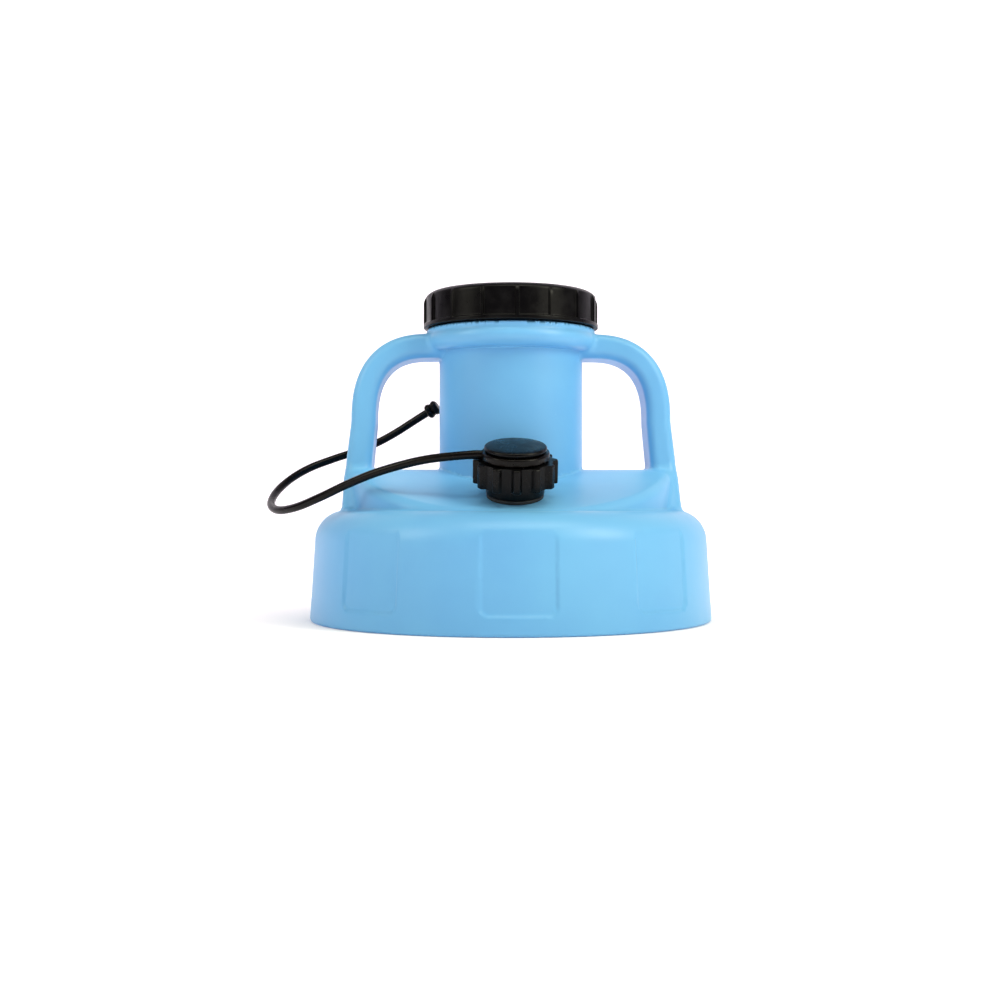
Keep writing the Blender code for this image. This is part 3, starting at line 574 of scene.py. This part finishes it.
def copies_round():
    """A node tree that sets copies of a piece's sector round the Z axis and welds them."""
    tree = bpy.data.node_groups.new("copies_round", "GeometryNodeTree")
    face = tree.interface
    for name, kind, way in (
        ("Sector", "NodeSocketGeometry", "INPUT"),
        ("Copies", "NodeSocketInt", "INPUT"),
        ("Material", "NodeSocketMaterial", "INPUT"),
        ("Piece", "NodeSocketGeometry", "OUTPUT"),
    ):
        face.new_socket(name, in_out=way, socket_type=kind)
    new, link = tree.nodes.new, tree.links.new
    inside, outside = new("NodeGroupInput"), new("NodeGroupOutput")
    line, index, share, turn = (
        new("GeometryNodeMeshLine"), new("GeometryNodeInputIndex"),
        new("ShaderNodeMath"), new("ShaderNodeCombineXYZ"),
    )
    line.inputs["Offset"].default_value = (0, 0, 0)
    share.operation = "DIVIDE"
    whole = new("ShaderNodeMath")
    whole.operation = "MULTIPLY"
    whole.inputs[1].default_value = 2 * math.pi
    set_out, real, weld, paint = (
        new("GeometryNodeInstanceOnPoints"), new("GeometryNodeRealizeInstances"),
        new("GeometryNodeMergeByDistance"), new("GeometryNodeSetMaterial"),
    )
    weld.inputs["Distance"].default_value = 0.000002
    link(inside.outputs["Copies"], line.inputs["Count"])
    link(index.outputs[0], share.inputs[0])
    link(inside.outputs["Copies"], share.inputs[1])
    link(share.outputs[0], whole.inputs[0])
    link(whole.outputs[0], turn.inputs["Z"])
    link(line.outputs[0], set_out.inputs["Points"])
    link(inside.outputs["Sector"], set_out.inputs["Instance"])
    link(turn.outputs[0], set_out.inputs["Rotation"])
    link(set_out.outputs[0], real.inputs[0])
    link(real.outputs[0], weld.inputs[0])
    link(weld.outputs[0], paint.inputs["Geometry"])
    link(inside.outputs["Material"], paint.inputs["Material"])
    link(paint.outputs[0], outside.inputs[0])
    return tree


round_tree = copies_round()


def repeated(name, rows, angles, shape, copies, material, place=None):
    """A ribbed piece: one sector is shaped from the rows of its profile, and set round the axis."""
    mesh = bpy.data.meshes.new(name)
    build = bmesh.new()
    grid = []
    for r, z in rows:
        grid.append([])
        for a in angles:
            out = shape(a, r, z) if r > 0 else 0
            grid[-1].append(build.verts.new((out * math.cos(a), out * math.sin(a), z)))
    for upper, lower in zip(grid, grid[1:]):
        for i in range(len(angles) - 1):
            build.faces.new((upper[i], lower[i], lower[i + 1], upper[i + 1]))
    bmesh.ops.remove_doubles(build, verts=build.verts, dist=0.000001)
    build.to_mesh(mesh)
    build.free()
    piece = bpy.data.objects.new(name, mesh)
    scene.collection.objects.link(piece)
    spread = piece.modifiers.new("copies_round", "NODES")
    spread.node_group = round_tree
    keys = {item.name: item.identifier for item in round_tree.interface.items_tree if item.in_out == "INPUT"}
    spread[keys["Copies"]] = copies
    spread[keys["Material"]] = material
    return settle(piece, material, place, sharp=50)


def ease(value, low, high):
    """0 below low, 1 above high, and a smooth rise between."""
    t = min(1, max(0, (value - low) / (high - low)))
    return t * t * (3 - 2 * t)


def black_polypropylene(name, gloss):
    """Black moulded plastic with a fine grain, cloudy sheen, dust and lighter rubbed places."""
    material, shader, place = finish(name, (0.010, 0.010, 0.011), gloss, shine=0.14)
    cloud = place.noise(120, 4, 0.6)
    dust = place.noise(1300, 3, 0.65).step(0.56, 0.78)
    rubbed = cloud.step(0.45, 0.75)
    colour = (dust * 0.20 + rubbed * 0.15).mix((0.0005, 0.0005, 0.0006), (0.020, 0.020, 0.021))
    grain = place.noise(1700, 3, 0.6).bump(0.28, 0.00012)
    relief = place.noise(260, 3, 0.5).bump(0.16, 0.0003, grain)
    rough = cloud.step(0.3, 0.7) * 0.16 + (gloss - 0.07) + dust * 0.10
    connect(shader, Base_Color=colour, Roughness=rough, Normal=relief)
    return material


cap_black = black_polypropylene("cap_black", 0.34)


def cap_shape(angle, r, z):
    """Radius of the large cap: full on the ribs and the lower band, less in the panels."""
    floor = CAP_RADIUS - CAP_RECESS
    if r <= floor or z < cap_low[2] + 0.0003:
        return r
    rib = 1 - ease(abs(angle) * CAP_RADIUS, RIB_HALF - 0.0001, RIB_HALF + 0.0003)
    band = 1 - ease(z, cap_low[2] + CAP_BAND - 0.0003, cap_low[2] + CAP_BAND + 0.0003)
    return floor + (r - floor) * max(rib, band)


half = math.pi / CAP_RIBS
rib_marks = (0.0003, 0.0005, 0.0006, 0.0007, 0.0008, 0.0009, 0.0011, 0.0014)
cap_angles = sorted(
    [s * a for s in (-1, 1) for a in [half - half * 0.82 * (i / 7) for i in range(8)]]
    + [s * a / CAP_RADIUS for s in (-1, 1) for a in rib_marks]
    + [0]
)
top, low = cap_high[2], cap_low[2]
cap_rows = [
    (0, top - 0.0004),
    *[(r, top - 0.0004) for r in (0.008, 0.018, 0.027, 0.0325)],
    *[(0.0325 + 0.0012 * t, top - 0.0004 + 0.0004 * ease(t, 0, 1)) for t in (0.25, 0.5, 0.75, 1)],
    *arc((CAP_RADIUS - CAP_FILLET, top - CAP_FILLET), CAP_FILLET, 90, 0, 14),
    *[(CAP_RADIUS, low + h) for h in (0.0100, 0.0080, 0.0060, 0.0040, 0.0030, 0.0026, 0.0024)],
    *[(CAP_RADIUS, low + h) for h in (0.0022, 0.0020, 0.0018, 0.0015, 0.0010)],
    *arc((CAP_RADIUS - 0.0005, low + 0.0005), 0.0005, 0, -90, 4),
    (CAP_INNER + 0.0004, low),
    (CAP_INNER, low + 0.0004),
    (CAP_INNER, (low + CAP_CEILING) / 2),
    (CAP_INNER, CAP_CEILING - 0.0006),
    (CAP_INNER - 0.0006, CAP_CEILING),
    (CAP_INNER / 2, CAP_CEILING),
    (0, CAP_CEILING),
]
big_cap = repeated("big_cap", cap_rows, cap_angles, cap_shape, CAP_RIBS, cap_black,
                   Matrix.Rotation(CAP_TURN, 4, "Z"))
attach(big_cap, "main_cap")
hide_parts("main_cap")


# ================================================================ liner of the large cap
# A flat ring of white foamed polyethylene that lies loose in the cap and seals on the neck's lip.

liner_low, liner_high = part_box("main_cap_liner")
LINER_OUT = 0.0389
LINER_BORE = 0.0200


def foam():
    """White foam with a fine, uneven skin."""
    material, shader, place = finish("white_foam", (0.78, 0.78, 0.76), 0.6)
    cell = place.noise(1400, 3, 0.7)
    colour = cell.mix((0.74, 0.74, 0.71), (0.82, 0.82, 0.80))
    connect(shader, Base_Color=colour, Normal=cell.bump(0.3, 0.0001))
    return material


def washer(name, outer, inner, bottom, top, material, place=None, steps=96):
    """A flat ring with slightly rounded edges."""
    e = 0.0002
    profile = [
        *arc((outer - e, top - e), e, 90, 0, 3),
        *arc((outer - e, bottom + e), e, 0, -90, 3),
        *arc((inner + e, bottom + e), e, 270, 180, 3),
        *arc((inner + e, top - e), e, 180, 90, 3),
    ]
    return turned(name, profile, steps, material, place, ring=True)


white = foam()
liner = washer("cap_liner", LINER_OUT, LINER_BORE, liner_low[2], liner_high[2], white)
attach(liner, "main_cap_seal")
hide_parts("main_cap_liner")


# ================================================================ screw threads of the neck, skirt and cap
# Moulded ridges: one on the neck for the large cap, one inside that cap, and a coarser one inside the skirt
# for the drum. Each has a trapezoid's section, winds up its wall and fades out at both ends.

THREAD_BASE = 0.1475
MAIN_PITCH = 0.0050
MAIN_WIDTHS = (0.0024, 0.0012)
MAIN_TURNS = 1.75
DRUM_PITCH = 0.0080
DRUM_WIDTHS = (0.0040, 0.0018)
DRUM_TURNS = 1.25
DRUM_WALL = 0.0945


def thread_tree():
    """A node tree that winds a ridge with a trapezoid's section round the Z axis, right-handed."""
    tree = bpy.data.node_groups.new("screw_thread", "GeometryNodeTree")
    for name in ("Radius", "Pitch", "Turns", "Height", "Root", "Crest"):
        tree.interface.new_socket(name, in_out="INPUT", socket_type="NodeSocketFloat")
    tree.interface.new_socket("Material", in_out="INPUT", socket_type="NodeSocketMaterial")
    tree.interface.new_socket("Ridge", in_out="OUTPUT", socket_type="NodeSocketGeometry")
    inside, outside = tree.nodes.new("NodeGroupInput"), tree.nodes.new("NodeGroupOutput")

    def add(kind, settings, sockets, output=0):
        node = tree.nodes.new(kind)
        for name, value in settings.items():
            setattr(node, name, value)
        for name, value in sockets.items():
            if isinstance(value, bpy.types.NodeSocket):
                tree.links.new(value, node.inputs[name])
            else:
                node.inputs[name].default_value = value
        return node.outputs[output]

    given = inside.outputs
    rise = add("ShaderNodeMath", {"operation": "MULTIPLY"}, {0: given["Pitch"], 1: given["Turns"]})
    spiral = add("GeometryNodeCurveSpiral", {}, {
        "Resolution": 90, "Rotations": given["Turns"], "Start Radius": given["Radius"],
        "End Radius": given["Radius"], "Height": rise, "Reverse": True,
    })
    upright = add("GeometryNodeSetCurveNormal", {"mode": "Z_UP"}, {"Curve": spiral})
    section = add("GeometryNodeCurvePrimitiveQuadrilateral", {"mode": "TRAPEZOID"}, {
        "Height": given["Height"], "Bottom Width": given["Root"], "Top Width": given["Crest"], "Offset": 0.0,
    })
    middle = add("ShaderNodeMath", {"operation": "MULTIPLY"}, {0: given["Height"], 1: 0.5})
    shift = add("ShaderNodeCombineXYZ", {}, {"X": middle})
    turned_section = add("GeometryNodeTransform", {}, {
        "Geometry": section, "Translation": shift, "Rotation": (0, 0, -math.pi / 2),
    })
    along = add("GeometryNodeSplineParameter", {}, {})
    from_end = add("ShaderNodeMath", {"operation": "PINGPONG"}, {0: along, 1: 0.5})
    fade = {0: from_end, 1: 0.0, 2: 0.05, 3: 0.06}
    full = add("ShaderNodeMapRange", {"interpolation_type": "SMOOTHSTEP"}, fade)
    ridge = add("GeometryNodeCurveToMesh", {}, {
        "Curve": upright, "Profile Curve": turned_section, "Scale": full, "Fill Caps": True,
    })
    painted = add("GeometryNodeSetMaterial", {}, {"Geometry": ridge, "Material": given["Material"]})
    tree.links.new(painted, outside.inputs[0])
    return tree


ridge_tree = thread_tree()


def thread(name, radius, height, pitch, widths, turns, bottom, first_turn, material, place=None):
    """A thread's ridge on a wall of this radius; a negative height stands inwards."""
    piece = bpy.data.objects.new(name, bpy.data.meshes.new(name))
    scene.collection.objects.link(piece)
    wind = piece.modifiers.new("screw_thread", "NODES")
    wind.node_group = ridge_tree
    keys = {item.name: item.identifier for item in ridge_tree.interface.items_tree if item.in_out == "INPUT"}
    values = {
        "Radius": radius, "Pitch": pitch, "Turns": turns, "Height": height,
        "Root": widths[0], "Crest": widths[1], "Material": material,
    }
    for key, value in values.items():
        wind[keys[key]] = value
    start = Matrix.Translation((0, 0, bottom)) @ Matrix.Rotation(first_turn * 2 * math.pi, 4, "Z")
    settle(piece, material, (place or Matrix()) @ start, sharp=30)
    made = bmesh.new()
    made.from_mesh(piece.data)
    bmesh.ops.recalc_face_normals(made, faces=made.faces)
    made.to_mesh(piece.data)
    made.free()
    return piece


neck_ridge = thread("neck_ridge", NECK_FINISH - 0.0002, 0.0024, MAIN_PITCH, MAIN_WIDTHS, MAIN_TURNS,
                    THREAD_BASE, 0, blue)
cap_ridge = thread("cap_ridge", CAP_INNER + 0.0002, -0.0026, MAIN_PITCH, MAIN_WIDTHS, MAIN_TURNS,
                   THREAD_BASE, -0.5, cap_black)
drum_ridge = thread("drum_ridge", DRUM_WALL, -0.0027, DRUM_PITCH, DRUM_WIDTHS, DRUM_TURNS,
                    DRUM_PITCH, 0, blue)
for piece, body, slot in (
    (neck_ridge, "lid", "blue_plastic"),
    (cap_ridge, "main_cap", "black_plastic"),
    (drum_ridge, "lid", "blue_plastic"),
):
    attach(piece, body)


# ================================================================ drum gasket
# A flat ring of black rubber in the corner under the skirt's top, squeezed on the drum's lip.

gasket_low, gasket_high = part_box("drum_gasket")
GASKET_BORE = 0.0769


def rubber():
    """Matte black rubber with a little chalky bloom."""
    material, shader, place = finish("black_rubber", (0.018, 0.018, 0.018), 0.62)
    bloom = place.noise(160, 4, 0.6).step(0.4, 0.8)
    colour = bloom.mix((0.014, 0.014, 0.014), (0.034, 0.034, 0.033))
    connect(shader, Base_Color=colour, Normal=place.noise(2200, 2).bump(0.2, 0.00005))
    return material


black_rubber = rubber()
gasket = washer("drum_gasket_ring", gasket_high[0], GASKET_BORE, gasket_low[2], gasket_high[2], black_rubber,
                steps=128)
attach(gasket, "lid")
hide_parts("drum_gasket")


# ================================================================ port fitting, its seal and its nut
# A black polypropylene spigot with a flange that seals on the slope and a threaded stub for the port's cap.
# Its shank goes down through the shoulder and is held there by a hexagonal nut.

FLANGE_OUT = 0.0136
STUB_OUT = 0.0114
STUB_TOP = 0.0156
PORT_BORE = 0.0070
SHANK_OUT = 0.0100
SHANK_END = -0.0140
PORT_PITCH = 0.0030
PORT_WIDTHS = (0.0015, 0.0007)
PORT_TURNS = 1.75
PORT_THREAD_BASE = 0.0091
SEAL_OUT = 0.0133
SEAL_BOTTOM = 0.0003
SEAL_TOP = 0.0018
FLANGE_UNDER = 0.0021
FLANGE_OVER = 0.0066
NUT_FLATS = 0.0300
NUT_TOP = -0.0037
NUT_HEIGHT = 0.0060

fitting_black = black_polypropylene("fitting_black", 0.36)
e = 0.0005
fitting = turned(
    "port_spigot",
    [
        *arc((STUB_OUT - e, STUB_TOP - e), e, 90, 0, 4),
        (STUB_OUT, FLANGE_OVER + 0.0002),
        (STUB_OUT + 0.0002, FLANGE_OVER),
        *arc((FLANGE_OUT - e, FLANGE_OVER - e), e, 90, 0, 4),
        *arc((FLANGE_OUT - e, FLANGE_UNDER + e), e, 0, -90, 4),
        (SHANK_OUT, FLANGE_UNDER),
        (SHANK_OUT, SHANK_END + e),
        (SHANK_OUT - e, SHANK_END),
        (PORT_BORE + e, SHANK_END),
        (PORT_BORE, SHANK_END + e),
        (PORT_BORE, STUB_TOP - e),
        (PORT_BORE + e, STUB_TOP),
    ],
    72,
    fitting_black,
    PORT,
    ring=True,
)
stub_ridge = thread("stub_ridge", STUB_OUT - 0.0002, 0.0017, PORT_PITCH, PORT_WIDTHS, PORT_TURNS,
                    PORT_THREAD_BASE, 0, fitting_black, PORT)
seal = washer("port_seal", SEAL_OUT, PORT_HOLE, SEAL_BOTTOM, SEAL_TOP, black_rubber, PORT, steps=72)

nut_mesh = bpy.data.meshes.new("nut")
nut_build = bmesh.new()
bore_corners = 48
sides = []
for h in (NUT_TOP, NUT_TOP - NUT_HEIGHT):
    for i in range(bore_corners):
        a = 2 * math.pi * i / bore_corners
        around = (a + math.pi / 6) % (math.pi / 3) - math.pi / 6
        flat = NUT_FLATS / 2 / math.cos(math.pi / 6 - abs(around))
        sides.append((nut_build.verts.new((flat * math.cos(a), flat * math.sin(a), h)),
                      nut_build.verts.new((PORT_HOLE * math.cos(a), PORT_HOLE * math.sin(a), h))))
for i in range(bore_corners):
    j = (i + 1) % bore_corners
    (a, b), (c, d) = sides[i], sides[j]
    (low_a, low_b), (low_c, low_d) = sides[i + bore_corners], sides[j + bore_corners]
    for loop in ((a, c, d, b), (low_b, low_d, low_c, low_a), (low_a, low_c, c, a), (b, d, low_d, low_b)):
        nut_build.faces.new(loop)
bmesh.ops.recalc_face_normals(nut_build, faces=nut_build.faces)
nut_build.to_mesh(nut_mesh)
nut_build.free()
nut = bpy.data.objects.new("port_nut", nut_mesh)
scene.collection.objects.link(nut)
chamfer = nut.modifiers.new("chamfer", "BEVEL")
chamfer.width = 0.0004
chamfer.segments = 2
chamfer.limit_method = "ANGLE"
chamfer.angle_limit = math.radians(40)
settle(nut, fitting_black, PORT, sharp=35)

for piece, node, slot in (
    (fitting, "port_fitting", "black_plastic"),
    (stub_ridge, None, "black_plastic"),
    (seal, "port_fitting_seal", "seal_rubber"),
    (nut, "port_lock_nut", "black_plastic"),
):
    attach(piece, "lid")
    if node:
        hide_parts(node)


# ================================================================ port cap
# A small black screw cap with twelve broad grip ribs. A mushroom-shaped button stands on top of it, and the
# tether's ring is snapped on under the button.

GRIP_RADIUS = 0.0173
GRIP_RIB = 0.0196
GRIP_RIBS = 12
GRIP_TOP = 0.0180
GRIP_BOTTOM = 0.0069
GRIP_ROUND = 0.0009
RIB_ROOT = 0.139
RIB_CREST = 0.066
GRIP_INNER = 0.0136
GRIP_CEILING = 0.0174
BUTTON_RADIUS = 0.0145
STEM_RADIUS = 0.0125
BUTTON_LOW = 0.0223
BUTTON_HIGH = 0.0246
BUTTON_CROWN = 0.0007
DISC_RADIUS = 0.0133
DISC_TOP = 0.0171
DISC_BOTTOM = 0.0159

port_black = black_polypropylene("port_cap_black", 0.30)


def grip_shape(angle, r, z):
    """Radius of the port cap's side: out to the ribs' crests, and in between them."""
    if r <= GRIP_RADIUS:
        return r
    window = [angle + 0.012 * (k / 4 - 1) for k in range(9)]
    full = [min(1, max(0, (RIB_ROOT - abs(a)) / (RIB_ROOT - RIB_CREST))) for a in window]
    return GRIP_RADIUS + (r - GRIP_RADIUS) * sum(full) / len(full)


grip_angles = [math.pi / GRIP_RIBS * (i / 24 - 1) for i in range(49)]
grip_rows = [
    (0.0110, GRIP_TOP - 0.0002),
    (0.0140, GRIP_TOP),
    (0.0165, GRIP_TOP),
    *arc((GRIP_RIB - GRIP_ROUND, GRIP_TOP - GRIP_ROUND), GRIP_ROUND, 90, 0, 8),
    (GRIP_RIB, 0.0140),
    (GRIP_RIB, 0.0100),
    *arc((GRIP_RIB - GRIP_ROUND / 2, GRIP_BOTTOM + GRIP_ROUND / 2), GRIP_ROUND / 2, 0, -90, 5),
    (0.0165, GRIP_BOTTOM),
    (GRIP_INNER + 0.0004, GRIP_BOTTOM),
    (GRIP_INNER, GRIP_BOTTOM + 0.0004),
    (GRIP_INNER, GRIP_CEILING - 0.0004),
    (GRIP_INNER - 0.0004, GRIP_CEILING),
    (0.0110, GRIP_CEILING),
]
grip_rows.append(grip_rows[0])
grip = repeated("port_grip", grip_rows, grip_angles, grip_shape, GRIP_RIBS, port_black, PORT)
edge = (BUTTON_HIGH - BUTTON_LOW) / 2
crown = [
    (BUTTON_RADIUS * t, BUTTON_HIGH + BUTTON_CROWN * (1 - (t / 0.9) ** 2))
    for t in (0.2, 0.4, 0.6, 0.75)
]
button = turned(
    "port_button",
    [
        (0, BUTTON_HIGH + BUTTON_CROWN),
        *crown,
        *arc((BUTTON_RADIUS - edge, BUTTON_HIGH - edge), edge, 72, -90, 12),
        (STEM_RADIUS + 0.0002, BUTTON_LOW),
        (STEM_RADIUS, BUTTON_LOW - 0.0002),
        (STEM_RADIUS, GRIP_TOP - 0.0003),
        (0.0100, GRIP_TOP - 0.0003),
        (0.0100, GRIP_CEILING + 0.0001),
        (0, GRIP_CEILING + 0.0001),
    ],
    96,
    port_black,
    PORT,
)
port_ridge = thread("port_ridge", GRIP_INNER + 0.0002, -0.0018, PORT_PITCH, PORT_WIDTHS, PORT_TURNS,
                    PORT_THREAD_BASE, -0.5, port_black, PORT)
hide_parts("port_cap")
for piece in (grip, button, port_ridge):
    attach(piece, "port_cap")

e = 0.0003
disc = turned(
    "port_liner",
    [
        (0, DISC_TOP),
        *arc((DISC_RADIUS - e, DISC_TOP - e), e, 90, 0, 3),
        *arc((DISC_RADIUS - e, DISC_BOTTOM + e), e, 0, -90, 3),
        (0, DISC_BOTTOM),
    ],
    72,
    white,
    PORT,
)
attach(disc, "port_cap_seal")
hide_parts("port_cap_liner")


# ================================================================ light and floor
# A white sweep under and behind the lid that glows a little away from it, one softbox on each side of the
# camera, the right one stronger, one above, and a weak sky.


def softbox(name, azimuth, elevation, distance, width, height, watts):
    """A rectangular lamp that looks at the middle of the lid. Azimuth 0 is at the camera's side."""
    lamp = bpy.data.lights.new(name, "AREA")
    lamp.shape = "RECTANGLE"
    lamp.size, lamp.size_y = width, height
    lamp.energy = watts
    lamp.color = (1.0, 0.98, 0.80)
    a, e = math.radians(azimuth), math.radians(elevation)
    away = Vector((math.sin(a) * math.cos(e), -math.cos(a) * math.cos(e), math.sin(e)))
    box = bpy.data.objects.new(name, lamp)
    box.location = away * distance + Vector((0, 0, 0.08))
    box.rotation_euler = away.to_track_quat("Z", "Y").to_euler()
    scene.collection.objects.link(box)


softbox("left_softbox", -64, 30, 1.3, 0.35, 0.7, 5.5)
softbox("right_softbox", 55, 32, 1.3, 0.35, 0.7, 11)
softbox("top_softbox", 10, 70, 1.2, 1.0, 0.4, 7)

scene.world = bpy.data.worlds.new("sky")
scene.world.use_nodes = True
sky = scene.world.node_tree.nodes["Background"]
sky.inputs["Color"].default_value = (1.0, 0.80, 1.1, 1)
sky.inputs["Strength"].default_value = 0.14
scene.view_settings.view_transform = "Standard"

sweep_mesh = bpy.data.meshes.new("sweep")
sweep_rows = [(-3.0, 0.0), (0.9, 0.0)]
sweep_rows += [(0.9 + 0.5 * math.sin(math.radians(9 * i)), 0.5 - 0.5 * math.cos(math.radians(9 * i)))
               for i in range(1, 11)]
sweep_rows += [(1.4, 2.5)]
corners = [(x, y, z - 0.0001) for y, z in sweep_rows for x in (-3.0, 3.0)]
strips = [(2 * i, 2 * i + 1, 2 * i + 3, 2 * i + 2) for i in range(len(sweep_rows) - 1)]
sweep_mesh.from_pydata(corners, [], strips)
sweep_mesh.shade_smooth()
paper, paper_shader, paper_place = finish("white_paper", (0.88, 0.88, 0.88), 0.9)
paper_shader.inputs["Emission Strength"].default_value = 0.6
paper_fibre = paper_place.noise(900, 3)
away = paper_place.node("ShaderNodeVectorMath", {"operation": "LENGTH"}, {0: paper_place}, 1)
glow = away.step(0.05, 0.25).mix((0.10, 0.10, 0.10), (1.0, 0.92, 1.04))
connect(paper_shader, Normal=paper_fibre.bump(0.05, 0.0001), Emission_Color=glow)
sweep_mesh.materials.append(paper)
sweep = bpy.data.objects.new("sweep", sweep_mesh)
scene.collection.objects.link(sweep)
